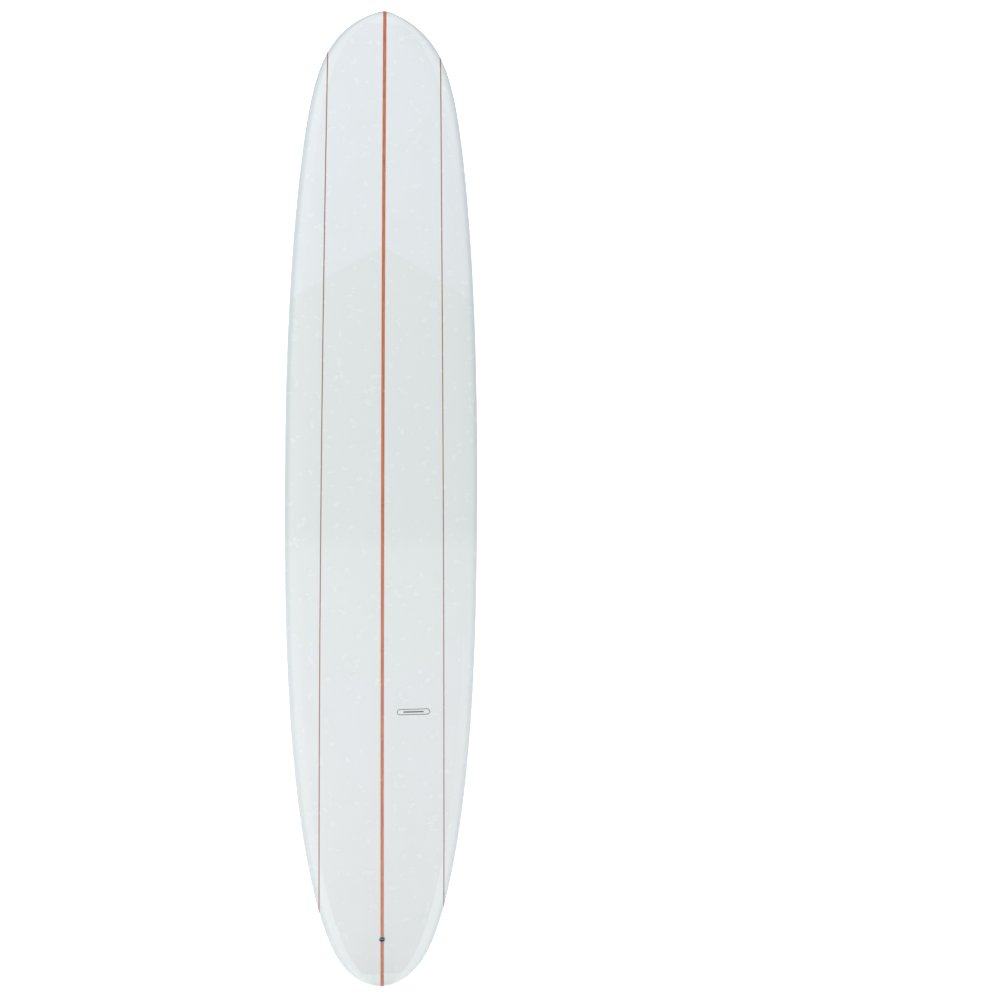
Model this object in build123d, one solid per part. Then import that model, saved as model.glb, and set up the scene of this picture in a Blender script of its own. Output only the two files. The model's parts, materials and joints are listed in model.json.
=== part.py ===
"""Longboard surfboard: a stringered foam blank in a two-ply glass skin, with a fin box and a leash plug.

Frame: +Z runs from the tail to the nose, +X across the board, and the deck faces -Y.
The origin is the bottom centre of the board's box, under the tail tip.
Heights are measured from the lowest line of the bottom towards the deck, so y = -height
until the finished board is centred on y = 0. All sizes are in millimetres.
"""
import math
import os

from build123d import *

# Board
LENGTH = 2896.0
WIDTH = 584.0
THICKNESS = 76.0
WIDE_POINT = 1480.0
TAIL_ROCKER = 92.0
NOSE_ROCKER = 118.0
ROCKER_LOW_POINT = 1350.0
TAIL_ROCKER_POWER = 2.8
NOSE_ROCKER_POWER = 2.6
TAIL_TIP_THICKNESS = 26.0
NOSE_TIP_THICKNESS = 20.0
TAIL_FOIL_POWER = 3.4
NOSE_FOIL_POWER = 3.0
RAIL_HEIGHT_SHARE = 0.45
DECK_DOME_POWER = 2.3
BOTTOM_FLAT_POWER = 3.4
TIP_FLAT = 0.15
TIP_OPENING = 0.5
# Each end's outline blends a round curve with a blunt one: share, then the two pairs of powers
TAIL_OUTLINE = (0.877, 2.571, 0.489, 40.0, 0.711)
NOSE_OUTLINE = (0.537, 2.204, 0.625, 17.5, 0.771)

# Glass skin
INNER_PLY = 0.6
OUTER_PLY = 0.6
BOND_GAP = 0.1
DECK_LAP = 40.0
PATCH_TAIL_APEX = 880.0
PATCH_TAIL_SHOULDER = 1060.0
PATCH_NOSE_SHOULDER = 2046.0
PATCH_NOSE_APEX = 2206.0

# Stringers
CENTRE_STRINGER = 9.5
SIDE_STRINGER = 3.2
SIDE_STRINGER_TAIL = 185.6
SIDE_STRINGER_MIDDLE = 183.3
SIDE_STRINGER_NOSE = 164.8

# Fin box
BOX_LENGTH = 273.0
BOX_WIDTH = 28.6
BOX_CORNER = 10.5
BOX_FLANGE = 4.0
BOX_BODY_WIDTH = 20.0
BOX_BODY_CORNER = 9.5
BOX_BODY_INSET = 3.0
BOX_DEPTH = 22.0
BOX_CENTRE = 267.5
SLOT_LENGTH = 252.0
SLOT_WIDTH = 9.6
SLOT_DEPTH = 19.0
GROOVE_WIDTH = 14.4
GROOVE_HEIGHT = 5.2
GROOVE_BELOW_FACE = 5.0
NOTCH_LENGTH = 11.0
NOTCH_CORNER = 1.0
RESIN_WALL = 1.5

# Leash plug
PLUG_CENTRE = 140.0
PLUG_FLANGE_DIAMETER = 19.0
PLUG_FLANGE = 1.6
PLUG_BODY_DIAMETER = 17.0
PLUG_BORE_DIAMETER = 13.6
PLUG_FLOOR = 1.6
PLUG_TO_BOX_FOAM = 1.5
PIN_DIAMETER = 3.2
PIN_BELOW_DECK = 4.5
PIN_SEAT = 1.2

# Printed marks
MARK_OFFSET = 94.0
DECK_MARK_CENTRE = 811.0
BOTTOM_MARK_CENTRE = 827.0
MARK_LENGTH = 100.0
MARK_WIDTH = 18.0
MARK_LINE = 2.0
MARK_BAR_LENGTH = 62.0
MARK_BAR_WIDTH = 4.0

# How finely the curves are drawn
STATIONS_PER_END = 14
RAIL_POINTS = 4
STRIP_POINTS = 5
STATION_GAP = 3.0

# The blank stops at least this far short of the nose, and where its centre stringer just fits
BLANK_NOSE_GAP = 3.0
END_MARGIN = 0.1
END_STEP = 0.5
# The side stringers stop this far inside the rails
RUN_OUT = 1.0
# Rounded ends stay this much short of a half circle
CORNER_EASE = 0.1
# Cutting shapes run this far past the board
BEYOND = 60.0


def end_of(z):
    """The end's outline powers and how far z lies from the wide point towards that end, from 0 to 1."""
    if z < WIDE_POINT:
        return TAIL_OUTLINE, (WIDE_POINT - z) / WIDE_POINT
    return NOSE_OUTLINE, (z - WIDE_POINT) / (LENGTH - WIDE_POINT)


def half_width(z):
    (share, round_out, round_in, blunt_out, blunt_in), x = end_of(z)
    x = min(x, 1.0)
    return WIDTH / 2 * (
        share * (1 - x**round_out) ** round_in + (1 - share) * (1 - x**blunt_out) ** blunt_in
    )


def rocker(z):
    """Height of the bottom's centre line."""
    if z < ROCKER_LOW_POINT:
        return TAIL_ROCKER * ((ROCKER_LOW_POINT - z) / ROCKER_LOW_POINT) ** TAIL_ROCKER_POWER
    return NOSE_ROCKER * ((z - ROCKER_LOW_POINT) / (LENGTH - ROCKER_LOW_POINT)) ** NOSE_ROCKER_POWER


def thickness(z):
    """Thickness on the centre line, before the tips are rounded."""
    if z < ROCKER_LOW_POINT:
        x = (ROCKER_LOW_POINT - z) / ROCKER_LOW_POINT
        return THICKNESS - (THICKNESS - TAIL_TIP_THICKNESS) * x**TAIL_FOIL_POWER
    x = (z - ROCKER_LOW_POINT) / (LENGTH - ROCKER_LOW_POINT)
    return THICKNESS - (THICKNESS - NOSE_TIP_THICKNESS) * x**NOSE_FOIL_POWER


def rail_height(z):
    """Height of the widest line of the rails."""
    return rocker(z) + RAIL_HEIGHT_SHARE * thickness(z)


def deck_height(z):
    return rocker(z) + thickness(z)


def point(x, height, z):
    return Vector(x, -height, z)


def full_place(z, inset):
    """The place on the full-size board that z on the board drawn in by inset stands for."""
    if z < WIDE_POINT:
        return max(WIDE_POINT * (z - inset) / (WIDE_POINT - inset), 0.0)
    nose = LENGTH - WIDE_POINT
    return min(LENGTH - nose * (LENGTH - inset - z) / (nose - inset), LENGTH)


def inset_scale(z, inset):
    """Share of the full width; past the end of the drawn-in board a small opening is left."""
    if z < inset or z > LENGTH - inset:
        return TIP_OPENING
    return 1 - inset / (WIDTH / 2)


def inset_half_width(z, inset):
    near_tip = min(max(full_place(z, inset), TIP_FLAT), LENGTH - TIP_FLAT)
    return half_width(near_tip) * inset_scale(z, inset)


def stations(low, high):
    """Places along the board from low to high, closer together towards the tips."""
    places = []
    for step in range(STATIONS_PER_END + 1):
        reach = (step / STATIONS_PER_END) ** 2
        places.append(WIDE_POINT * reach)
        places.append(LENGTH - (LENGTH - WIDE_POINT) * reach)
    inner = sorted({z for z in places if low + STATION_GAP < z < high - STATION_GAP})
    return [low, *inner, high]


def tip_round(z):
    """Share of the full thickness left where the tips round over."""
    from_tip = min(z, LENGTH - z) + TIP_FLAT
    radius = thickness(z) / 2
    if from_tip >= radius:
        return 1.0
    return math.sqrt(1 - (1 - from_tip / radius) ** 2)


def ring_point(z, inset, turn):
    """The board's outline at z: turn is 0 at the +X rail and a quarter on the deck's centre line."""
    height = thickness(z) - 2 * inset
    if z < inset or z > LENGTH - inset:
        height *= TIP_OPENING
    rise = height * tip_round(full_place(z, inset))
    if math.sin(turn) > 0:
        power = DECK_DOME_POWER
        rise *= 1 - RAIL_HEIGHT_SHARE
    else:
        power = BOTTOM_FLAT_POWER
        rise *= -RAIL_HEIGHT_SHARE
    across = math.cos(turn)
    up = max(1 - abs(across) ** power, 0.0) ** (1 / power)
    middle = rocker(z) + inset + RAIL_HEIGHT_SHARE * (thickness(z) - 2 * inset)
    return point(inset_half_width(z, inset) * across, middle + rise * up, z)


def turn_at(x, z, inset):
    """The turn at which the deck at z is x from the centre line."""
    return math.acos(x / inset_half_width(z, inset))


def ring_edge(z, inset, start, end, count):
    """Part of the outline at z; its points are spaced alike at every z, so lofts stay clean."""

    def row(place):
        turns = [start + (end - start) * step / (count - 1) for step in range(count)]
        return [ring_point(place, inset, turn) for turn in turns]

    spacing = [0.0]
    widest = row(WIDE_POINT)
    for here, ahead in zip(widest, widest[1:]):
        spacing.append(spacing[-1] + (ahead - here).length)
    return Edge.make_spline(row(z), parameters=[place / spacing[-1] for place in spacing])


def closed_band(first, second):
    """Two edges drawn the same way, joined by lines at both ends."""
    end_line = Edge.make_line(first @ 1, second @ 1)
    start_line = Edge.make_line(first @ 0, second @ 0)
    return Wire([first, end_line, second, start_line])


def board_solid(inset):
    """The whole board drawn in by inset."""
    sections = []
    for z in stations(inset, LENGTH - inset):
        deck = ring_edge(z, inset, 0, math.pi, 4 * RAIL_POINTS + 1)
        bottom = ring_edge(z, inset, 0, -math.pi, 4 * RAIL_POINTS + 1)
        sections.append(Wire([deck, bottom]))
    return Solid.make_loft(sections)


def ply(outside, inside, start, end, count):
    """A thin layer between two insets, from one turn round the outline to another."""
    sections = []
    for z in stations(0.0, LENGTH):
        outer = ring_edge(z, outside, start, end, count)
        sections.append(closed_band(outer, ring_edge(z, inside, start, end, count)))
    return Solid.make_loft(sections)


def patch_prism():
    """The six-sided outline of the deck patch, from rail to rail."""
    wide = WIDTH / 2 + BEYOND
    # The shoulders lie at the rails, so the sloping edges run on past them at the same slope
    tail_run = (PATCH_TAIL_SHOULDER - PATCH_TAIL_APEX) * wide / half_width(PATCH_TAIL_SHOULDER)
    nose_run = (PATCH_NOSE_APEX - PATCH_NOSE_SHOULDER) * wide / half_width(PATCH_NOSE_SHOULDER)
    corners = [
        (0, PATCH_TAIL_APEX),
        (wide, PATCH_TAIL_APEX + tail_run),
        (wide, PATCH_NOSE_APEX - nose_run),
        (0, PATCH_NOSE_APEX),
        (-wide, PATCH_NOSE_APEX - nose_run),
        (-wide, PATCH_TAIL_APEX + tail_run),
    ]
    outline = Polyline(*[Vector(x, 0, z) for x, z in corners], close=True)
    return through_board(Wire(outline.edges()))


def through_board(outline):
    """A plan outline carried right through the board, deck to bottom."""
    reach = NOSE_ROCKER + THICKNESS + BEYOND
    return extrude(Face(outline), amount=reach, dir=(0, 1, 0), both=True)


def side_stringer_centre(z):
    """A gentle curve through the stringer's three offsets."""
    middle = LENGTH / 2
    share = (z - middle) / middle
    bow = (SIDE_STRINGER_TAIL + SIDE_STRINGER_NOSE) / 2 - SIDE_STRINGER_MIDDLE
    lean = (SIDE_STRINGER_NOSE - SIDE_STRINGER_TAIL) / 2
    return SIDE_STRINGER_MIDDLE + lean * share + bow * share**2


def side_stringer_ends(inset):
    """Where the side stringers run out through the rails, tail end and nose end."""
    ends = []
    for start, step in ((WIDE_POINT, -1.0), (WIDE_POINT, 1.0)):
        z = start
        while inset_half_width(z, inset) > side_stringer_centre(z) + SIDE_STRINGER / 2 + RUN_OUT:
            z += step
        ends.append(z)
    return ends


def blank_ends(inset):
    """Where the centre stringer's full width first fits between the rails, tail end and nose end."""
    ends = []
    for start, step in ((inset, END_STEP), (LENGTH - BLANK_NOSE_GAP, -END_STEP)):
        z = start
        while inset_half_width(z, inset) < CENTRE_STRINGER / 2 + END_MARGIN:
            z += step
        ends.append(z)
    return ends


def upright_strip(inset, near, far, low, high):
    """A lengthwise strip of the board between two offsets, which are functions of z."""
    sections = []
    for z in stations(low, high):
        turns = (turn_at(near(z), z, inset), turn_at(far(z), z, inset))
        deck = ring_edge_between(z, inset, turns[0], turns[1])
        bottom = ring_edge_between(z, inset, -turns[0], -turns[1])
        sections.append(closed_band(deck, bottom))
    return Solid.make_loft(sections)


def ring_edge_between(z, inset, start, end):
    turns = [start + (end - start) * step / (STRIP_POINTS - 1) for step in range(STRIP_POINTS)]
    spots = [ring_point(z, inset, turn) for turn in turns]
    return Edge.make_spline(spots, parameters=[step / (STRIP_POINTS - 1) for step in range(STRIP_POINTS)])


def rail_side(inset, near, low, high, count):
    """The board from an offset out to the +X rail, between two places along it."""
    reference = turn_at(near(WIDE_POINT), WIDE_POINT, inset)
    spacing = [0.0]
    shares = [1 - 2 * step / (count - 1) for step in range(count)]
    row = [ring_point(WIDE_POINT, inset, reference * share) for share in shares]
    for here, ahead in zip(row, row[1:]):
        spacing.append(spacing[-1] + (ahead - here).length)
    whole = [place / spacing[-1] for place in spacing]
    sections = []
    for z in stations(low, high):
        turn = turn_at(near(z), z, inset)
        outline = Edge.make_spline(
            [ring_point(z, inset, turn * share) for share in shares], parameters=whole
        )
        sections.append(Wire([outline, Edge.make_line(outline @ 1, outline @ 0)]))
    return Solid.make_loft(sections)


def bar(plane, length, width, corner, low, high):
    """A block with rounded ends, lying along the plane's x, from depth low to depth high on its z."""
    outline = RectangleRounded(length, width, corner)
    return plane * (Pos(0, 0, low) * extrude(outline, amount=high - low))


def fin_box_plane():
    """Origin on the chord of the bottom under the box, x towards the nose, z out of the bottom."""
    tail_z = BOX_CENTRE - BOX_LENGTH / 2
    nose_z = BOX_CENTRE + BOX_LENGTH / 2
    tail = point(0, rocker(tail_z), tail_z)
    nose = point(0, rocker(nose_z), nose_z)
    along = (nose - tail).normalized()
    out = Vector(1, 0, 0).cross(along) * -1
    return Plane(origin=(tail + nose) * 0.5, x_dir=along, z_dir=out)


def plug_plane():
    """Origin on the deck at the leash plug, x across the board, z out of the deck."""
    here = point(0, deck_height(PLUG_CENTRE), PLUG_CENTRE)
    ahead = point(0, deck_height(PLUG_CENTRE + 1), PLUG_CENTRE + 1)
    along = (ahead - here).normalized()
    out = Vector(1, 0, 0).cross(along)
    return Plane(origin=here, x_dir=Vector(1, 0, 0), z_dir=out)


def plug_depth():
    """Depth of the plug's body: what the board leaves above the fin box's resin at the plug."""
    taken = BOX_DEPTH + 2 * RESIN_WALL + PLUG_TO_BOX_FOAM
    return thickness(PLUG_CENTRE) - taken


def disc(plane, diameter, low, high):
    return plane * (Pos(0, 0, low) * extrude(Circle(diameter / 2), amount=high - low))


def fin_box_pocket():
    plane = fin_box_plane()
    spread = 2 * RESIN_WALL
    return bar(
        plane,
        BOX_LENGTH + spread,
        BOX_WIDTH + spread,
        BOX_CORNER + RESIN_WALL,
        -BOX_DEPTH - RESIN_WALL,
        BEYOND,
    )


def fin_box_block():
    plane = fin_box_plane()
    flange = bar(plane, BOX_LENGTH, BOX_WIDTH, BOX_CORNER, -BOX_FLANGE, BEYOND)
    body_length = BOX_LENGTH - 2 * BOX_BODY_INSET
    body = bar(plane, body_length, BOX_BODY_WIDTH, BOX_BODY_CORNER, -BOX_DEPTH, 0)
    return flange + body


def fin_box_slot():
    """The slot, its two side grooves and the drop-in notch half way along."""
    plane = fin_box_plane()
    corner = SLOT_WIDTH / 2 - CORNER_EASE
    slot = bar(plane, SLOT_LENGTH, SLOT_WIDTH, corner, -SLOT_DEPTH, BEYOND)
    groove_floor = -GROOVE_BELOW_FACE - GROOVE_HEIGHT
    groove = bar(plane, SLOT_LENGTH, GROOVE_WIDTH, corner, groove_floor, -GROOVE_BELOW_FACE)
    notch = bar(plane, NOTCH_LENGTH, GROOVE_WIDTH, NOTCH_CORNER, groove_floor, BEYOND)
    return slot + groove + notch


def plug_pocket():
    plane = plug_plane()
    diameter = PLUG_FLANGE_DIAMETER + 2 * RESIN_WALL
    return disc(plane, diameter, -plug_depth() - RESIN_WALL, BEYOND)


def plug_block():
    plane = plug_plane()
    flange = disc(plane, PLUG_FLANGE_DIAMETER, -PLUG_FLANGE, BEYOND)
    return flange + disc(plane, PLUG_BODY_DIAMETER, -plug_depth(), 0)


def plug_bore():
    return disc(plug_plane(), PLUG_BORE_DIAMETER, -plug_depth() + PLUG_FLOOR, BEYOND)


def plug_pin():
    plane = plug_plane()
    length = PLUG_BORE_DIAMETER + 2 * PIN_SEAT
    rod = Rot(0, 90, 0) * Cylinder(PIN_DIAMETER / 2, length)
    return plane * (Pos(0, 0, -PIN_BELOW_DECK) * rod)


def long_round(length, width):
    return RectangleRounded(length, width, width / 2 - CORNER_EASE)


def mark_prism(side, centre):
    """A plain generic mark, a long rounded ring round a short bar; side is -1 on the deck, 1 below."""
    start = Vector(MARK_OFFSET, -rail_height(centre), centre)
    plane = Plane(origin=start, x_dir=(1, 0, 0), z_dir=(0, side, 0))
    outer = long_round(MARK_LENGTH, MARK_WIDTH)
    inner = long_round(MARK_LENGTH - 2 * MARK_LINE, MARK_WIDTH - 2 * MARK_LINE)
    middle = long_round(MARK_BAR_LENGTH, MARK_BAR_WIDTH)
    return extrude(plane * (outer - inner + middle), amount=THICKNESS + BEYOND)


def skin_parts(pockets):
    """The glass: the bottom's wraps the rails and laps onto the deck, which is closed by its own plies."""
    skin = OUTER_PLY + INNER_PLY
    lap = math.acos(1 - DECK_LAP / (WIDTH / 2))
    deck_points = 2 * RAIL_POINTS + 1
    wrap_points = 6 * RAIL_POINTS + 1
    deck_top = ply(0.0, OUTER_PLY, lap, math.pi - lap, deck_points)
    deck_base = ply(OUTER_PLY, skin, lap, math.pi - lap, deck_points)
    wrap = ply(0.0, skin, lap, -math.pi - lap, wrap_points)
    patch_zone = patch_prism()
    deck_mark = mark_prism(-1, DECK_MARK_CENTRE)
    bottom_mark = mark_prism(1, BOTTOM_MARK_CENTRE) - board_solid(OUTER_PLY)
    return {
        "decal_deck": deck_top & deck_mark,
        "decal_bottom": wrap & bottom_mark,
        "glass_deck_top": deck_top - deck_mark - pockets,
        "glass_deck_base": deck_base - patch_zone - pockets,
        "deck_patch": deck_base & patch_zone,
        "glass_bottom_wrap": wrap - bottom_mark - pockets,
    }


def mirrored(solid):
    return mirror(solid, about=Plane.YZ)


def blank_parts(pockets):
    """Four foam strips glued up with three wooden stringers."""
    inset = OUTER_PLY + INNER_PLY + BOND_GAP
    low, high = side_stringer_ends(inset)
    tail, nose = blank_ends(inset)

    def centre_face(z):
        return CENTRE_STRINGER / 2

    def inner_face(z):
        return side_stringer_centre(z) - SIDE_STRINGER / 2

    def outer_face(z):
        return side_stringer_centre(z) + SIDE_STRINGER / 2

    stringer = upright_strip(inset, inner_face, outer_face, low, high)
    rail = rail_side(inset, outer_face, low, high, 4 * RAIL_POINTS + 1)
    half = rail_side(inset, centre_face, tail, nose, 6 * RAIL_POINTS + 1)
    places = [low + (high - low) * step / (STRIP_POINTS - 1) for step in range(STRIP_POINTS)]
    face = Spline(*[Vector(inner_face(z), 0, z) for z in places])
    far = [Vector(WIDTH, 0, high), Vector(WIDTH, 0, low)]
    beyond = through_board(Wire([face, *Polyline(face @ 1, *far, face @ 0).edges()]))
    core = half - beyond - pockets
    centre = upright_strip(inset, lambda z: -centre_face(z), centre_face, tail, nose) - pockets
    return {
        "stringer_centre": centre,
        "stringer_right": stringer,
        "stringer_left": mirrored(stringer),
        "foam_core_right": core,
        "foam_core_left": mirrored(core),
        "foam_rail_right": rail,
        "foam_rail_left": mirrored(rail),
    }


def fitting_parts(outer):
    """The fin box and the leash plug, each potted in resin and cut flush with the glass."""
    box_block = fin_box_block()
    plug = plug_block()
    pin = plug_pin()
    return {
        "fin_box_resin": (outer & fin_box_pocket()) - box_block,
        "fin_box": (outer & box_block) - fin_box_slot(),
        "leash_plug_resin": (outer & plug_pocket()) - plug,
        "leash_plug_cup": (outer & plug) - plug_bore() - pin,
        "leash_plug_pin": pin,
    }


def build():
    outer = board_solid(0.0)
    pockets = fin_box_pocket() + plug_pocket()
    parts = skin_parts(pockets)
    parts.update(blank_parts(pockets))
    parts.update(fitting_parts(outer))
    centre_y = outer.bounding_box().center().Y
    return {name: Pos(0, -centre_y, 0) * shape for name, shape in parts.items()}


os.makedirs("parts", exist_ok=True)
for name, shape in build().items():
    export_step(shape, f"parts/{name}.step")
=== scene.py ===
"""Looks for the longboard: glassed skin, inlaid marks, fittings, studio and camera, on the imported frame."""
import json
import math

import bmesh
import bpy
from mathutils import Matrix, Vector


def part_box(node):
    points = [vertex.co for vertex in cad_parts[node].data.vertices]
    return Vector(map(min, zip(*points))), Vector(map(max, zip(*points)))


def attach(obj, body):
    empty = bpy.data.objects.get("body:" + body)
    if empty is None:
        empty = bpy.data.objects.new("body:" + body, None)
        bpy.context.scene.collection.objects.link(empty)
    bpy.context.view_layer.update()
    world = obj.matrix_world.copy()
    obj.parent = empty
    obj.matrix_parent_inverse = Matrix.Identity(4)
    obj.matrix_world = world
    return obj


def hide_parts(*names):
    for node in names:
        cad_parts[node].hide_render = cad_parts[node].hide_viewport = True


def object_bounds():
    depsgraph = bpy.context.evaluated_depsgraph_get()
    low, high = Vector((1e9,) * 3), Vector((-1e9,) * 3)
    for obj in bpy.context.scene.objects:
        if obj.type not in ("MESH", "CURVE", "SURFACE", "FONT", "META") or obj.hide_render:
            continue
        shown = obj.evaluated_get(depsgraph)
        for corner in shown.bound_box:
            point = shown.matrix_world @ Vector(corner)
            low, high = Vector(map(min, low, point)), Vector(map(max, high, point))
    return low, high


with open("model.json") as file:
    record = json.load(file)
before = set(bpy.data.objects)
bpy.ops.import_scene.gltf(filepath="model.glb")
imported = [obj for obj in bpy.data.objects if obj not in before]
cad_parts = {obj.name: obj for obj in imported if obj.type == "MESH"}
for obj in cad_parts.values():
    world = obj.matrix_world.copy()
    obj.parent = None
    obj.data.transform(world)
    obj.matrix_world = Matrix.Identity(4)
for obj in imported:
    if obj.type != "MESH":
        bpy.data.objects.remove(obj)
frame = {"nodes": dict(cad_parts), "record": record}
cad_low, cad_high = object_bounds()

MM = 0.001

# The board's curves, the same as the CAD's; its length and width come from the frame itself
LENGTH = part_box("glass_bottom_wrap")[1].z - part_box("glass_bottom_wrap")[0].z
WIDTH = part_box("glass_bottom_wrap")[1].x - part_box("glass_bottom_wrap")[0].x
THICKNESS = 76 * MM
WIDE_POINT = 1480 * MM
ROCKER_LOW_POINT = 1350 * MM
TAIL_ROCKER, TAIL_ROCKER_POWER = 92 * MM, 2.8
NOSE_ROCKER, NOSE_ROCKER_POWER = 118 * MM, 2.6
TAIL_TIP_THICKNESS, TAIL_FOIL_POWER = 26 * MM, 3.4
NOSE_TIP_THICKNESS, NOSE_FOIL_POWER = 20 * MM, 3.0
RAIL_HEIGHT_SHARE = 0.45
DECK_DOME_POWER = 2.3
BOTTOM_FLAT_POWER = 3.4
TIP_FLAT = 0.15 * MM
TAIL_OUTLINE = (0.877, 2.571, 0.489, 40.0, 0.711)
NOSE_OUTLINE = (0.537, 2.204, 0.625, 17.5, 0.771)
DECK_LAP = 40 * MM

# Stringers, patch and marks
CENTRE_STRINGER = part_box("stringer_centre")[1].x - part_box("stringer_centre")[0].x
SIDE_STRINGER = 3.2 * MM
SIDE_STRINGER_TAIL = 185.6 * MM
SIDE_STRINGER_MIDDLE = 183.3 * MM
SIDE_STRINGER_NOSE = 164.8 * MM
PATCH_TAIL_APEX, PATCH_NOSE_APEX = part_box("deck_patch")[0].z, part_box("deck_patch")[1].z
PATCH_TAIL_SHOULDER = 1060 * MM
PATCH_NOSE_SHOULDER = 2046 * MM
KNOTS = (2.703, 1.873)
MARK_LINE = 2 * MM
MARK_BAR_LENGTH = 62 * MM
MARK_BAR_WIDTH = 4 * MM

# How finely the skin is drawn
ROWS = 320
QUARTER_POINTS = 36
RAIL_CROWDING = 1.6
CORNER_POINTS = 12
STRAIGHT_POINTS = 24
SHARP_ANGLE = math.radians(35)

# Pockets and inlays
BOX_CORNER_SHARE = 0.38
PAST_SKIN = 0.05
INLAY_PROUD = 0.12 * MM
INLAY_SUNK = -0.4 * MM
BAR_CORE_SHARE = 0.02

# The skin's painted parts
WEAVE_PITCH = 3.2 * MM
LAP_SOFT = 1.5 * MM
# Painted shade: a blue-grey band inside the outline darkens the skin towards the rails
RAIL_SHADE_WIDTH = 22 * MM
RAIL_SHADE_SHARE = 0.65
PATCH_SHARE = 0.85
SIDE_WOOD_SHARE = 0.75
GLUE_LINE = 0.35 * MM

# Colours, each channel from 0 to 255
FOAM_NOSE = (225, 230, 233)
# The tail's foam is darker: painted shade
FOAM_TAIL_PAINTED_SHADE = (220, 223, 224)
FOAM_SHADE = (222, 227, 229)
# Paler band: the glass lap on the deck, and painted light where the rails turn on the bottom
LAP_AND_RAIL_LIGHT = (233, 240, 240)
# Blue-grey of the painted shade along the rails
RAIL_PAINTED_SHADE = (184, 198, 203)
PATCH = (219, 226, 224)
PATCH_THREAD = (226, 232, 230)
WOOD_LIGHT = (204, 122, 84)
WOOD = (184, 98, 64)
WOOD_DARK = (140, 66, 42)
WOOD_KNOT = (84, 40, 30)
SIDE_WOOD = (138, 96, 88)

# Camera and studio
CAMERA_OFFSET = 0.2
CAMERA_DISTANCE = 3.953
CAMERA_HEIGHT = 1.449
BOARD_LEFT_OF_CENTRE = math.radians(5.12)
CAMERA_ROLL = math.radians(0.14)
LENS_MM = 47.2
SENSOR_MM = 36.0
WORLD = 0.4
WORLD_TINT = (0.98, 0.99, 1.0, 1)
KEY = 45
TOP = 14
BACK = 4
FLOOR_RADIUS = 40
FLOOR_POINTS = 96
FLOOR_GLOW = 0.62
BACKDROP_Y = 7.0
BACKDROP_GLOW = 0.77
KEY_PLACE = Vector((-3.2, -4.4, 2.4))
TOP_PLACE = Vector((-0.4, -2.6, 4.6))
BACK_PLACE = Vector((3.2, 4.4, 2.4))
SIDE_LIGHT_SIZE = (2.6, 3.2)
TOP_LIGHT_SIZE = (2.4, 1.6)


# --- The board's surface -------------------------------------------------------------------------


def half_width(z):
    if z < WIDE_POINT:
        (share, round_out, round_in, blunt_out, blunt_in), x = TAIL_OUTLINE, (WIDE_POINT - z) / WIDE_POINT
    else:
        share, round_out, round_in, blunt_out, blunt_in = NOSE_OUTLINE
        x = (z - WIDE_POINT) / (LENGTH - WIDE_POINT)
    x = min(x, 1.0)
    blend = share * (1 - x**round_out) ** round_in + (1 - share) * (1 - x**blunt_out) ** blunt_in
    return WIDTH / 2 * blend


def rocker(z):
    """Height of the bottom's centre line."""
    if z < ROCKER_LOW_POINT:
        return TAIL_ROCKER * ((ROCKER_LOW_POINT - z) / ROCKER_LOW_POINT) ** TAIL_ROCKER_POWER
    return NOSE_ROCKER * ((z - ROCKER_LOW_POINT) / (LENGTH - ROCKER_LOW_POINT)) ** NOSE_ROCKER_POWER


def thickness(z):
    if z < ROCKER_LOW_POINT:
        x = (ROCKER_LOW_POINT - z) / ROCKER_LOW_POINT
        return THICKNESS - (THICKNESS - TAIL_TIP_THICKNESS) * x**TAIL_FOIL_POWER
    x = (z - ROCKER_LOW_POINT) / (LENGTH - ROCKER_LOW_POINT)
    return THICKNESS - (THICKNESS - NOSE_TIP_THICKNESS) * x**NOSE_FOIL_POWER


def rail_height(z):
    return rocker(z) + RAIL_HEIGHT_SHARE * thickness(z)


def tip_round(z):
    """Share of the full thickness left where the tips round over."""
    from_tip = min(z, LENGTH - z) + TIP_FLAT
    radius = thickness(z) / 2
    if from_tip >= radius:
        return 1.0
    return math.sqrt(1 - (1 - from_tip / radius) ** 2)


def surface(z, turn):
    """The skin's outside at z: turn is 0 at the +X rail and a quarter on the deck's centre line."""
    rise = thickness(z) * tip_round(z)
    if math.sin(turn) > 0:
        power = DECK_DOME_POWER
        rise *= 1 - RAIL_HEIGHT_SHARE
    else:
        power = BOTTOM_FLAT_POWER
        rise *= -RAIL_HEIGHT_SHARE
    across = math.cos(turn)
    up = max(1 - abs(across) ** power, 0.0) ** (1 / power)
    near_tip = min(max(z, TIP_FLAT), LENGTH - TIP_FLAT)
    return Vector((half_width(near_tip) * across, BOTTOM_Y - rail_height(z) - rise * up, z))


def on_skin(x, z, side):
    """The point of the skin at x and z, on the deck (side 1) or the bottom (side -1)."""
    return surface(z, side * math.acos(x / half_width(z)))


def skin_normal(x, z, side):
    step = 2 * MM
    along = on_skin(x, z + step, side) - on_skin(x, z - step, side)
    across = on_skin(x + step, z, side) - on_skin(x - step, z, side)
    normal = along.cross(across).normalized()
    return normal if normal.y * side < 0 else -normal


def rows():
    """Places from the tail to the nose, crowded towards both tips."""
    return [LENGTH / 2 * (1 - math.cos(math.pi * step / ROWS)) for step in range(ROWS + 1)]


def turns():
    """Turns once round the board, crowded towards the rails, with one on each deck lap line."""
    quarter = [math.pi / 2 * (step / QUARTER_POINTS) ** RAIL_CROWDING for step in range(QUARTER_POINTS)]
    lap = math.acos(1 - DECK_LAP / (WIDTH / 2))
    nearest = min(range(QUARTER_POINTS), key=lambda step: abs(quarter[step] - lap))
    deck = list(quarter)
    deck[nearest] = lap
    half = deck + [math.pi / 2] + [math.pi - turn for turn in reversed(deck)]
    back = quarter[1:] + [math.pi / 2] + [math.pi - turn for turn in reversed(quarter[1:])]
    return half + [math.pi + turn for turn in back]


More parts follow.
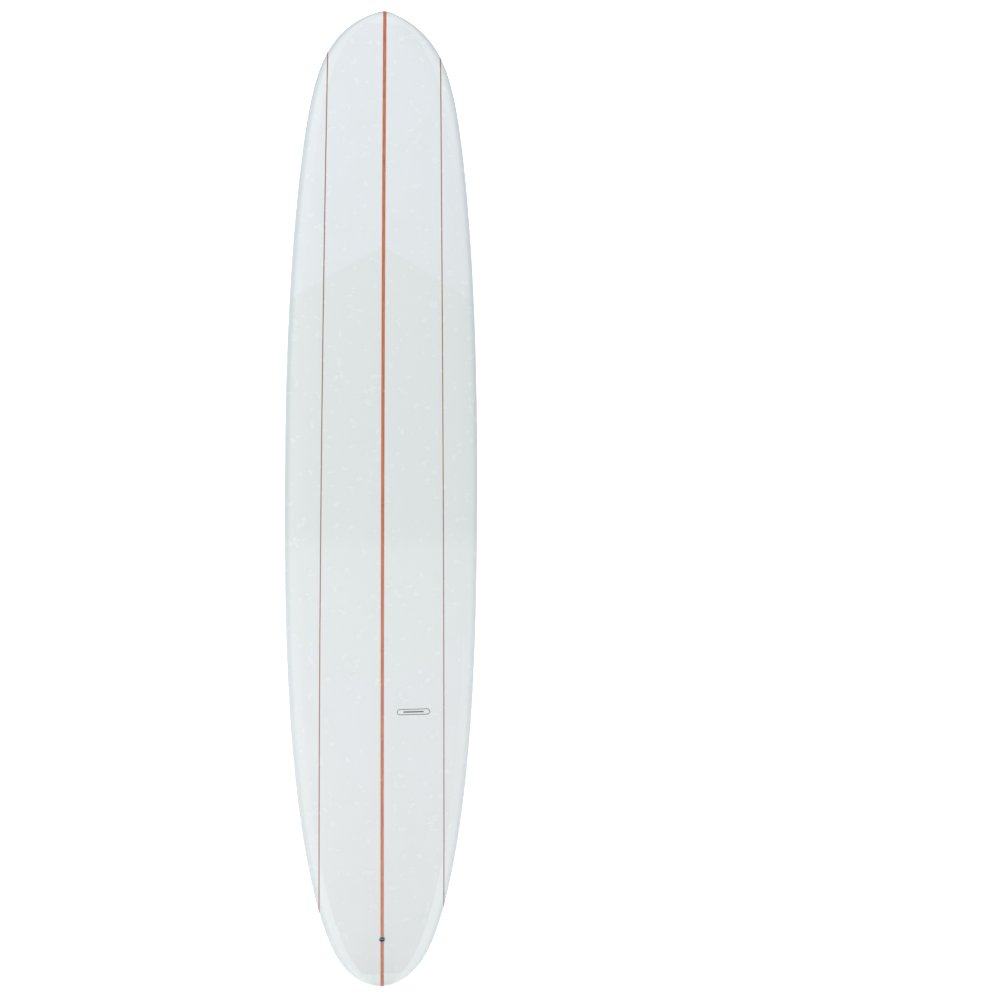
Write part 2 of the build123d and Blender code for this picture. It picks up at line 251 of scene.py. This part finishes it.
# The frame's deck line sets how far the heights sit from y = 0
BOTTOM_Y = cad_low.y + max(rocker(z) + thickness(z) * tip_round(z) for z in rows())


# --- Meshes --------------------------------------------------------------------------------------


def mesh_object(name, points, faces):
    mesh = bpy.data.meshes.new(name)
    mesh.from_pydata(points, [], faces)
    mesh.validate()
    piece = bpy.data.objects.new(name, mesh)
    bpy.context.scene.collection.objects.link(piece)
    return piece


def smooth(piece):
    piece.data.shade_smooth()
    piece.data.set_sharp_from_angle(angle=SHARP_ANGLE)


def board_body():
    """The whole skin's outside as one closed mesh."""
    ring = turns()
    count = len(ring)
    points = [surface(z, turn) for z in rows() for turn in ring]
    faces = [list(range(count))]
    for row in range(ROWS):
        for step in range(count):
            ahead = (step + 1) % count
            low, high = row * count, (row + 1) * count
            faces.append([low + step, high + step, high + ahead, low + ahead])
    faces.append([ROWS * count + step for step in reversed(range(count))])
    return mesh_object("board_body", points, faces)


def rounded_outline(length, width, corner):
    """Points of a rectangle with round corners, in its own plane."""
    points = []
    for quarter, (sign_x, sign_y) in enumerate(((1, 1), (-1, 1), (-1, -1), (1, -1))):
        centre = Vector((sign_x * (length / 2 - corner), sign_y * (width / 2 - corner)))
        for step in range(CORNER_POINTS + 1):
            angle = math.pi / 2 * (quarter + step / CORNER_POINTS)
            points.append(centre + corner * Vector((math.cos(angle), math.sin(angle))))
    return points


def prism(outline, origin, along, across, out, low, high):
    """A closed prism on an outline, used to cut a pocket."""
    points = []
    for depth in (low, high):
        points += [origin + along * p.x + across * p.y + out * depth for p in outline]
    count = len(outline)
    faces = [list(range(count)), [count + step for step in reversed(range(count))]]
    for step in range(count):
        ahead = (step + 1) % count
        faces.append([step, count + step, count + ahead, ahead])
    cutter = mesh_object("cutter", points, faces)
    repair = bmesh.new()
    repair.from_mesh(cutter.data)
    bmesh.ops.recalc_face_normals(repair, faces=repair.faces)
    repair.to_mesh(cutter.data)
    repair.free()
    return cutter


def reach(node, origin, direction):
    """How far a CAD node's points lie along a direction from the origin, least and most."""
    along = [(Vector(vertex.co) - origin).dot(direction) for vertex in frame["nodes"][node].data.vertices]
    return min(along), max(along)


def cut(piece, cutter):
    bpy.context.view_layer.objects.active = piece
    boolean = piece.modifiers.new("cut", "BOOLEAN")
    boolean.operation = "DIFFERENCE"
    boolean.solver = "EXACT"
    boolean.object = cutter
    bpy.ops.object.modifier_apply(modifier=boolean.name)
    bpy.data.objects.remove(cutter)


def mount(name):
    found = [entry for entry in frame["record"]["mounts"] if entry["name"] == name][0]
    return Vector(found["pos_m"]), Vector(found["axis"]).normalized()


def cut_fin_pocket(body):
    origin, along = mount("fin_slot")
    out = mount("fin_slot_floor")[1]
    across = out.cross(along)
    ends = reach("fin_box_resin", origin, along)
    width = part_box("fin_box_resin")[1].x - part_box("fin_box_resin")[0].x
    depth = reach("fin_box_resin", origin, out)[0]
    outline = rounded_outline(ends[1] - ends[0], width, width * BOX_CORNER_SHARE)
    middle = origin + along * (ends[0] + ends[1]) / 2
    cut(body, prism(outline, middle, along, across, out, depth, PAST_SKIN))


def cut_plug_pocket(body):
    low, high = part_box("leash_plug_resin")
    diameter = high.x - low.x
    place = mount("leash_bar")[0]
    out = skin_normal(0, place.z, 1)
    across = Vector((1, 0, 0))
    along = out.cross(across)
    depth = reach("leash_plug_resin", place, out)[0]
    outline = rounded_outline(diameter, diameter, diameter / 2 - 0.01 * MM)
    cut(body, prism(outline, place, along, across, out, depth, PAST_SKIN))


def split_skin(body):
    """Parts the skin along the deck lap line into the deck's glass and the wrap, the bottom's and rails'."""
    share = 1 - DECK_LAP / (WIDTH / 2)
    pieces = []
    for name, on_deck in (("deck_glass", True), ("wrap_glass", False)):
        piece = mesh_object(name, [], [])
        work = bmesh.new()
        work.from_mesh(body.data)
        gone = []
        for face in work.faces:
            centre = face.calc_center_median()
            z = min(max(centre.z, TIP_FLAT), LENGTH - TIP_FLAT)
            above = centre.y < BOTTOM_Y - rail_height(z)
            inside = above and abs(centre.x) < half_width(z) * share and 0 < centre.z < LENGTH
            if inside != on_deck:
                gone.append(face)
        bmesh.ops.delete(work, geom=gone, context="FACES")
        work.to_mesh(piece.data)
        work.free()
        pieces.append(piece)
    bpy.data.objects.remove(body)
    return pieces


def mark_sides(piece):
    """Stores at each point how far it lies inside the outline, and how far above the rail line."""
    inside = piece.data.attributes.new("inside", "FLOAT", "POINT")
    above = piece.data.attributes.new("above", "FLOAT", "POINT")
    for index, vertex in enumerate(piece.data.vertices):
        z = min(max(vertex.co.z, TIP_FLAT), LENGTH - TIP_FLAT)
        inside.data[index].value = min(half_width(z) - abs(vertex.co.x), z, LENGTH - z)
        above.data[index].value = BOTTOM_Y - rail_height(z) - vertex.co.y


def inlay(name, outer, inner, side, centre_x, centre_z):
    """A thin band between two outlines with the same number of points, laid in the skin."""
    points = []
    layers = ((outer, INLAY_PROUD), (inner, INLAY_PROUD), (inner, INLAY_SUNK), (outer, INLAY_SUNK))
    for outline, depth in layers:
        for p in outline:
            x, z = centre_x + p.x, centre_z + p.y
            points.append(on_skin(x, z, side) + skin_normal(x, z, side) * depth)
    count = len(outer)
    faces = []
    for layer in range(4):
        below = (layer + 1) % 4
        for step in range(count):
            ahead = (step + 1) % count
            top, bottom = layer * count, below * count
            faces.append((top + step, top + ahead, bottom + ahead, bottom + step))
    return mesh_object(name, points, faces)


def fine_outline(length, width):
    """A long round outline with points along its straight sides too, so that it can follow a curve."""
    radius = width / 2
    straight = length - width
    points = []
    for sign in (1, -1):
        for step in range(CORNER_POINTS + 1):
            angle = -math.pi / 2 + math.pi * step / CORNER_POINTS
            points.append(sign * Vector((straight / 2 + radius * math.cos(angle), radius * math.sin(angle))))
        for step in range(1, STRAIGHT_POINTS):
            points.append(sign * Vector((straight / 2 - straight * step / STRAIGHT_POINTS, radius)))
    return points


def printed_mark(node, side):
    """A generic mark: a long rounded ring round a short bar."""
    low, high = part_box(node)
    centre_x, centre_z = (low.x + high.x) / 2, (low.z + high.z) / 2
    length, width = high.x - low.x, high.z - low.z
    outer = fine_outline(length, width)
    inner = fine_outline(length - 2 * MARK_LINE, width - 2 * MARK_LINE)
    ring = inlay(node + "_ring", outer, inner, side, centre_x, centre_z)
    bar = fine_outline(MARK_BAR_LENGTH, MARK_BAR_WIDTH)
    middle_line = fine_outline(MARK_BAR_LENGTH - MARK_BAR_WIDTH, MARK_BAR_WIDTH)
    core = [Vector((p.x, p.y * BAR_CORE_SHARE)) for p in middle_line]
    middle = inlay(node + "_bar", bar, core, side, centre_x, centre_z)
    for piece in (ring, middle):
        smooth(piece)
        piece.data.materials.append(MARK_PRINT)
        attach(piece, "root")
    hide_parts(node)


# --- Materials -----------------------------------------------------------------------------------


def colour(red, green, blue):
    """An sRGB colour of 0 to 255 as the linear colour that a shader takes."""

    def linear(value):
        value /= 255
        return value / 12.92 if value <= 0.04045 else ((value + 0.055) / 1.055) ** 2.4

    return (linear(red), linear(green), linear(blue), 1.0)


class Pattern:
    """A material and short calls that add nodes to it."""

    def __init__(self, name):
        self.material = bpy.data.materials.new(name)
        self.material.use_nodes = True
        self.tree = self.material.node_tree
        self.shader = self.tree.nodes["Principled BSDF"]
        self.place = self.tree.nodes.new("ShaderNodeTexCoord").outputs["Object"]
        split = self.tree.nodes.new("ShaderNodeSeparateXYZ")
        self.tree.links.new(self.place, split.inputs[0])
        self.x, self.y, self.z = split.outputs

    def put(self, value, socket):
        if isinstance(value, bpy.types.NodeSocket):
            self.tree.links.new(value, socket)
        else:
            socket.default_value = value

    def math(self, operation, first, second=0.0, third=0.0):
        node = self.tree.nodes.new("ShaderNodeMath")
        node.operation = operation
        for value, socket in zip((first, second, third), node.inputs):
            self.put(value, socket)
        return node.outputs[0]

    def ramp(self, value, low, high, start=0.0, end=1.0):
        """A smooth step from start to end as value goes from low to high."""
        node = self.tree.nodes.new("ShaderNodeMapRange")
        node.interpolation_type = "SMOOTHSTEP"
        for item, socket in zip((value, low, high, start, end), node.inputs):
            self.put(item, socket)
        return node.outputs[0]

    def mix(self, factor, first, second):
        node = self.tree.nodes.new("ShaderNodeMix")
        node.data_type = "RGBA"
        self.put(factor, node.inputs[0])
        self.put(first, node.inputs[6])
        self.put(second, node.inputs[7])
        return node.outputs[2]

    def noise(self, scale, stretch=(1, 1, 1), detail=3.0):
        mapping = self.tree.nodes.new("ShaderNodeMapping")
        mapping.inputs["Scale"].default_value = stretch
        self.tree.links.new(self.place, mapping.inputs["Vector"])
        node = self.tree.nodes.new("ShaderNodeTexNoise")
        node.inputs["Scale"].default_value = scale
        node.inputs["Detail"].default_value = detail
        self.tree.links.new(mapping.outputs[0], node.inputs["Vector"])
        return node.outputs["Fac"]

    def stored(self, name):
        node = self.tree.nodes.new("ShaderNodeAttribute")
        node.attribute_name = name
        return node.outputs["Fac"]

    def bump(self, height, distance, strength=1.0):
        node = self.tree.nodes.new("ShaderNodeBump")
        node.inputs["Strength"].default_value = strength
        node.inputs["Distance"].default_value = distance
        self.tree.links.new(height, node.inputs["Height"])
        self.tree.links.new(node.outputs[0], self.shader.inputs["Normal"])

    def finish(self, base, roughness, coat=0.0, coat_roughness=0.05, metallic=0.0):
        self.put(base, self.shader.inputs["Base Color"])
        self.put(roughness, self.shader.inputs["Roughness"])
        self.shader.inputs["Coat Weight"].default_value = coat
        self.shader.inputs["Coat Roughness"].default_value = coat_roughness
        self.shader.inputs["Metallic"].default_value = metallic
        return self.material


def band(pattern, distance, half, soft=0.25 * MM):
    """1 where distance is under half, falling to 0 over a soft edge."""
    return pattern.ramp(distance, half - soft, half + soft, 1.0, 0.0)


def wood_colour(pattern, light, middle, dark):
    """Straight lengthwise grain between two tones, with thin dark growth lines."""
    broad = pattern.noise(14.0, (30, 30, 0.5))
    lines = pattern.noise(60.0, (30, 30, 0.25), 2.0)
    tone = pattern.mix(pattern.ramp(broad, 0.3, 0.7), light, middle)
    return pattern.mix(pattern.ramp(lines, 0.52, 0.72, 0.0, 0.45), tone, dark)


def side_stringer_distance(pattern):
    """Distance from the side stringers' centre lines, which bow gently along the board."""
    bow = (SIDE_STRINGER_TAIL + SIDE_STRINGER_NOSE) / 2 - SIDE_STRINGER_MIDDLE
    lean = (SIDE_STRINGER_NOSE - SIDE_STRINGER_TAIL) / 2
    share = pattern.math("MULTIPLY_ADD", pattern.z, 2 / LENGTH, -1.0)
    slope = pattern.math("MULTIPLY_ADD", share, bow, lean)
    line = pattern.math("MULTIPLY_ADD", slope, share, SIDE_STRINGER_MIDDLE)
    off = pattern.math("SUBTRACT", pattern.math("ABSOLUTE", pattern.x), line)
    return pattern.math("ABSOLUTE", off)


def patch_share(pattern):
    """1 inside the six-sided patch on the deck, out to the rails."""
    wide = pattern.math("ABSOLUTE", pattern.x)
    tail_slope = (PATCH_TAIL_SHOULDER - PATCH_TAIL_APEX) / half_width(PATCH_TAIL_SHOULDER)
    nose_slope = (PATCH_NOSE_APEX - PATCH_NOSE_SHOULDER) / half_width(PATCH_NOSE_SHOULDER)
    tail = pattern.math("MULTIPLY_ADD", wide, tail_slope, PATCH_TAIL_APEX)
    tail = pattern.math("SUBTRACT", pattern.z, tail)
    nose = pattern.math("MULTIPLY_ADD", wide, -nose_slope, PATCH_NOSE_APEX)
    nose = pattern.math("SUBTRACT", nose, pattern.z)
    inside = pattern.math("MULTIPLY", pattern.ramp(tail, -MM, MM), pattern.ramp(nose, -MM, MM))
    return pattern.math("MULTIPLY", inside, pattern.ramp(pattern.stored("above"), -2 * MM, 0.0))


def cloth(pattern):
    """The glass cloth's weave, seen faintly through the resin."""
    threads = []
    for axis in (pattern.x, pattern.z):
        wave = pattern.math("SINE", pattern.math("MULTIPLY", axis, 2 * math.pi / WEAVE_PITCH))
        threads.append(pattern.math("MULTIPLY_ADD", wave, 0.5, 0.5))
    return pattern.math("MULTIPLY", threads[0], threads[1])


def glass_material():
    """Gloss glass over white foam; the stringers, patch and laps beneath it are painted in its colour, with
    painted shade along the rails and towards the tail, and painted light in the bottom's pale band.
    """
    p = Pattern("board_glass")
    # The foam darkens from the nose to the tail: painted shade
    along = p.math("MULTIPLY", p.z, 1 / LENGTH)
    foam = p.mix(p.ramp(along, 0.05, 0.9), colour(*FOAM_TAIL_PAINTED_SHADE), colour(*FOAM_NOSE))
    mottle = p.noise(9.0, detail=5.0)
    foam = p.mix(p.ramp(mottle, 0.3, 0.7, 0.0, 0.35), foam, colour(*FOAM_SHADE))
    # A paler band inside the outline, strongest near the tips: the glass lap on the deck, painted light on
    # the bottom
    lap = p.ramp(p.stored("inside"), DECK_LAP - LAP_SOFT, DECK_LAP + LAP_SOFT, 1.0, 0.0)
    from_middle = p.math("ABSOLUTE", p.math("SUBTRACT", along, 0.5))
    paleness = p.ramp(from_middle, 0.3, 0.46, 0.12, 0.5)
    foam = p.mix(p.math("MULTIPLY", lap, paleness), foam, colour(*LAP_AND_RAIL_LIGHT))
    # Painted shade, darkest at the outline and fading over the band's width
    painted_rail_shade = p.ramp(p.stored("inside"), 0.0, RAIL_SHADE_WIDTH, 1.0, 0.0)
    patch = patch_share(p)
    weave = cloth(p)
    patch_tone = p.mix(p.math("MULTIPLY", weave, 0.15), colour(*PATCH), colour(*PATCH_THREAD))
    skin = p.mix(p.math("MULTIPLY", patch, PATCH_SHARE), foam, patch_tone)
    skin = p.mix(p.math("MULTIPLY", painted_rail_shade, RAIL_SHADE_SHARE), skin, colour(*RAIL_PAINTED_SHADE))
    wood = wood_colour(p, colour(*WOOD_LIGHT), colour(*WOOD), colour(*WOOD_DARK))
    for z in KNOTS:
        spot = p.math("ABSOLUTE", p.math("SUBTRACT", p.z, z))
        on_bottom = p.ramp(p.stored("above"), -10 * MM, -5 * MM, 1.0, 0.0)
        knot = p.math("MULTIPLY", p.ramp(spot, 2 * MM, 5 * MM, 1.0, 0.0), on_bottom)
        wood = p.mix(p.math("MULTIPLY", knot, 0.8), wood, colour(*WOOD_KNOT))
    across = p.math("ABSOLUTE", p.x)
    centre = band(p, across, CENTRE_STRINGER / 2)
    glue = band(p, p.math("ABSOLUTE", p.math("SUBTRACT", across, CENTRE_STRINGER / 2)), GLUE_LINE)
    skin = p.mix(centre, skin, wood)
    skin = p.mix(p.math("MULTIPLY", glue, 0.6), skin, colour(*WOOD_DARK))
    side = band(p, side_stringer_distance(p), SIDE_STRINGER / 2)
    side_wood = p.mix(SIDE_WOOD_SHARE, wood, colour(*SIDE_WOOD))
    skin = p.mix(side, skin, side_wood)
    roughness = p.ramp(p.noise(40.0, detail=4.0), 0.2, 0.8, 0.16, 0.3)
    p.bump(p.noise(5.0, detail=2.0), 0.4 * MM, 0.25)
    return p.finish(skin, roughness, coat=0.9, coat_roughness=0.04)


def foam_material():
    """Fine closed-cell foam."""
    p = Pattern("foam_cells")
    base = p.mix(p.noise(300.0), colour(236, 236, 228), colour(214, 214, 202))
    p.bump(p.noise(900.0), 0.3 * MM, 0.6)
    return p.finish(base, 0.85)


def stringer_material():
    p = Pattern("stringer_wood")
    base = wood_colour(p, colour(*WOOD_LIGHT), colour(*WOOD), colour(*WOOD_DARK))
    p.bump(p.noise(60.0, (30, 30, 0.25), 2.0), 0.2 * MM, 0.5)
    return p.finish(base, 0.55)


def black_plastic():
    """Moulded black plastic, sanded flush with fine lengthwise scratches."""
    p = Pattern("fin_box_plastic")
    scratches = p.noise(120.0, (8, 1, 0.6), 4.0)
    base = p.mix(p.ramp(scratches, 0.4, 0.75), colour(20, 20, 22), colour(44, 44, 47))
    p.bump(scratches, 0.08 * MM, 0.5)
    return p.finish(base, p.ramp(scratches, 0.3, 0.8, 0.3, 0.55), coat=0.3, coat_roughness=0.2)


def grey_plastic():
    p = Pattern("plug_plastic")
    grain = p.noise(700.0)
    base = p.mix(grain, colour(124, 132, 136), colour(160, 167, 170))
    p.bump(grain, 0.05 * MM, 0.5)
    return p.finish(base, p.ramp(grain, 0.2, 0.8, 0.3, 0.5), coat=0.3, coat_roughness=0.15)


def resin_material():
    """Resin sanded flush; the foam and the centre stringer beneath it are painted in its colour."""
    p = Pattern("potting_resin")
    cloud = p.noise(120.0, detail=5.0)
    base = p.mix(cloud, colour(*FOAM_NOSE), colour(*FOAM_SHADE))
    wood = wood_colour(p, colour(*WOOD_LIGHT), colour(*WOOD), colour(*WOOD_DARK))
    base = p.mix(band(p, p.math("ABSOLUTE", p.x), CENTRE_STRINGER / 2), base, wood)
    p.bump(cloud, 0.1 * MM, 0.3)
    return p.finish(base, p.ramp(cloud, 0.2, 0.8, 0.15, 0.3), coat=0.8)


def steel_material():
    """Satin steel, brushed along the bar."""
    p = Pattern("plug_steel")
    brushed = p.noise(400.0, (0.1, 4, 4))
    base = p.mix(brushed, colour(150, 152, 156), colour(205, 207, 210))
    p.bump(brushed, 0.03 * MM, 0.5)
    return p.finish(base, p.ramp(brushed, 0.2, 0.8, 0.2, 0.4), metallic=1.0)


def print_material():
    """Grey print under the resin, a little uneven."""
    p = Pattern("mark_print")
    speckle = p.noise(500.0, detail=4.0)
    base = p.mix(p.ramp(speckle, 0.35, 0.7), colour(62, 66, 70), colour(96, 102, 106))
    return p.finish(base, p.ramp(speckle, 0.2, 0.8, 0.25, 0.4), coat=0.8)


def pale_material(name, glow):
    """White studio paper, with a little light of its own."""
    p = Pattern(name)
    base = p.mix(p.noise(0.8), colour(246, 246, 246), colour(250, 250, 250))
    p.shader.inputs["Emission Color"].default_value = (1, 1, 1, 1)
    p.shader.inputs["Emission Strength"].default_value = glow
    p.shader.inputs["Specular IOR Level"].default_value = 0.0
    return p.finish(base, 0.9)


MARK_PRINT = print_material()


# --- The object ----------------------------------------------------------------------------------


def make_skin():
    body = board_body()
    cut_fin_pocket(body)
    cut_plug_pocket(body)
    deck, wrap = split_skin(body)
    glass = glass_material()
    for piece in (deck, wrap):
        mark_sides(piece)
        smooth(piece)
        piece.data.materials.append(glass)
        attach(piece, "root")
    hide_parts("glass_deck_top", "glass_deck_base", "deck_patch")
    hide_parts("glass_bottom_wrap")


def dress_nodes():
    """Gives every CAD node that stays its own material."""
    foam = foam_material()
    wood = stringer_material()
    resin = resin_material()
    looks = {
        "foam_rail_left": foam,
        "foam_core_left": foam,
        "foam_core_right": foam,
        "foam_rail_right": foam,
        "stringer_left": wood,
        "stringer_centre": wood,
        "stringer_right": wood,
        "fin_box": black_plastic(),
        "fin_box_resin": resin,
        "leash_plug_cup": grey_plastic(),
        "leash_plug_pin": steel_material(),
        "leash_plug_resin": resin,
    }
    for node, material in looks.items():
        mesh = frame["nodes"][node].data
        mesh.materials.clear()
        mesh.materials.append(material)


def area_light(name, place, target, size, power):
    light = bpy.data.lights.new(name, "AREA")
    light.shape = "RECTANGLE"
    light.size, light.size_y = size
    light.energy = power
    lamp = bpy.data.objects.new(name, light)
    lamp.location = place
    lamp.rotation_euler = (target - place).to_track_quat("-Z", "Y").to_euler()
    lamp.visible_camera = False
    lamp.visible_glossy = False
    bpy.context.scene.collection.objects.link(lamp)


def disc(height, radius):
    angles = [2 * math.pi * step / FLOOR_POINTS for step in range(FLOOR_POINTS)]
    return [Vector((radius * math.cos(angle), radius * math.sin(angle), height)) for angle in angles]


def wall(y, half):
    corners = ((-half, -MM), (half, -MM), (half, half), (-half, half))
    return [Vector((x, y, z)) for x, z in corners]


def make_studio():
    middle = (cad_low + cad_high) / 2
    world = bpy.data.worlds.new("studio")
    world.use_nodes = True
    world.node_tree.nodes["Background"].inputs["Color"].default_value = WORLD_TINT
    world.node_tree.nodes["Background"].inputs["Strength"].default_value = WORLD
    bpy.context.scene.world = world
    area_light("key", KEY_PLACE, middle, SIDE_LIGHT_SIZE, KEY)
    area_light("top", TOP_PLACE, middle, TOP_LIGHT_SIZE, TOP)
    area_light("back_key", BACK_PLACE, middle, SIDE_LIGHT_SIZE, BACK)
    floor = mesh_object("floor", disc(cad_low.z, FLOOR_RADIUS), [list(range(FLOOR_POINTS))])
    floor.data.materials.append(pale_material("studio_floor", FLOOR_GLOW))
    backdrop = mesh_object("backdrop", wall(BACKDROP_Y, FLOOR_RADIUS), [[0, 1, 2, 3]])
    backdrop.data.materials.append(pale_material("studio_backdrop", BACKDROP_GLOW))
    bpy.context.scene.view_settings.view_transform = "Standard"


def make_camera():
    camera = bpy.data.objects.new("camera", bpy.data.cameras.new("camera"))
    camera.data.lens = LENS_MM
    camera.data.sensor_width = SENSOR_MM
    camera.location = Vector((-CAMERA_OFFSET, -CAMERA_DISTANCE, CAMERA_HEIGHT))
    to_board = math.atan2(CAMERA_OFFSET, CAMERA_DISTANCE)
    aim = to_board + BOARD_LEFT_OF_CENTRE
    turn = Matrix.Rotation(-aim, 4, "Z") @ Matrix.Rotation(math.pi / 2, 4, "X")
    camera.rotation_euler = (turn @ Matrix.Rotation(CAMERA_ROLL, 4, "Z")).to_euler()
    bpy.context.scene.collection.objects.link(camera)
    bpy.context.scene.camera = camera


make_skin()
printed_mark("decal_deck", 1)
printed_mark("decal_bottom", -1)
dress_nodes()
make_studio()
make_camera()
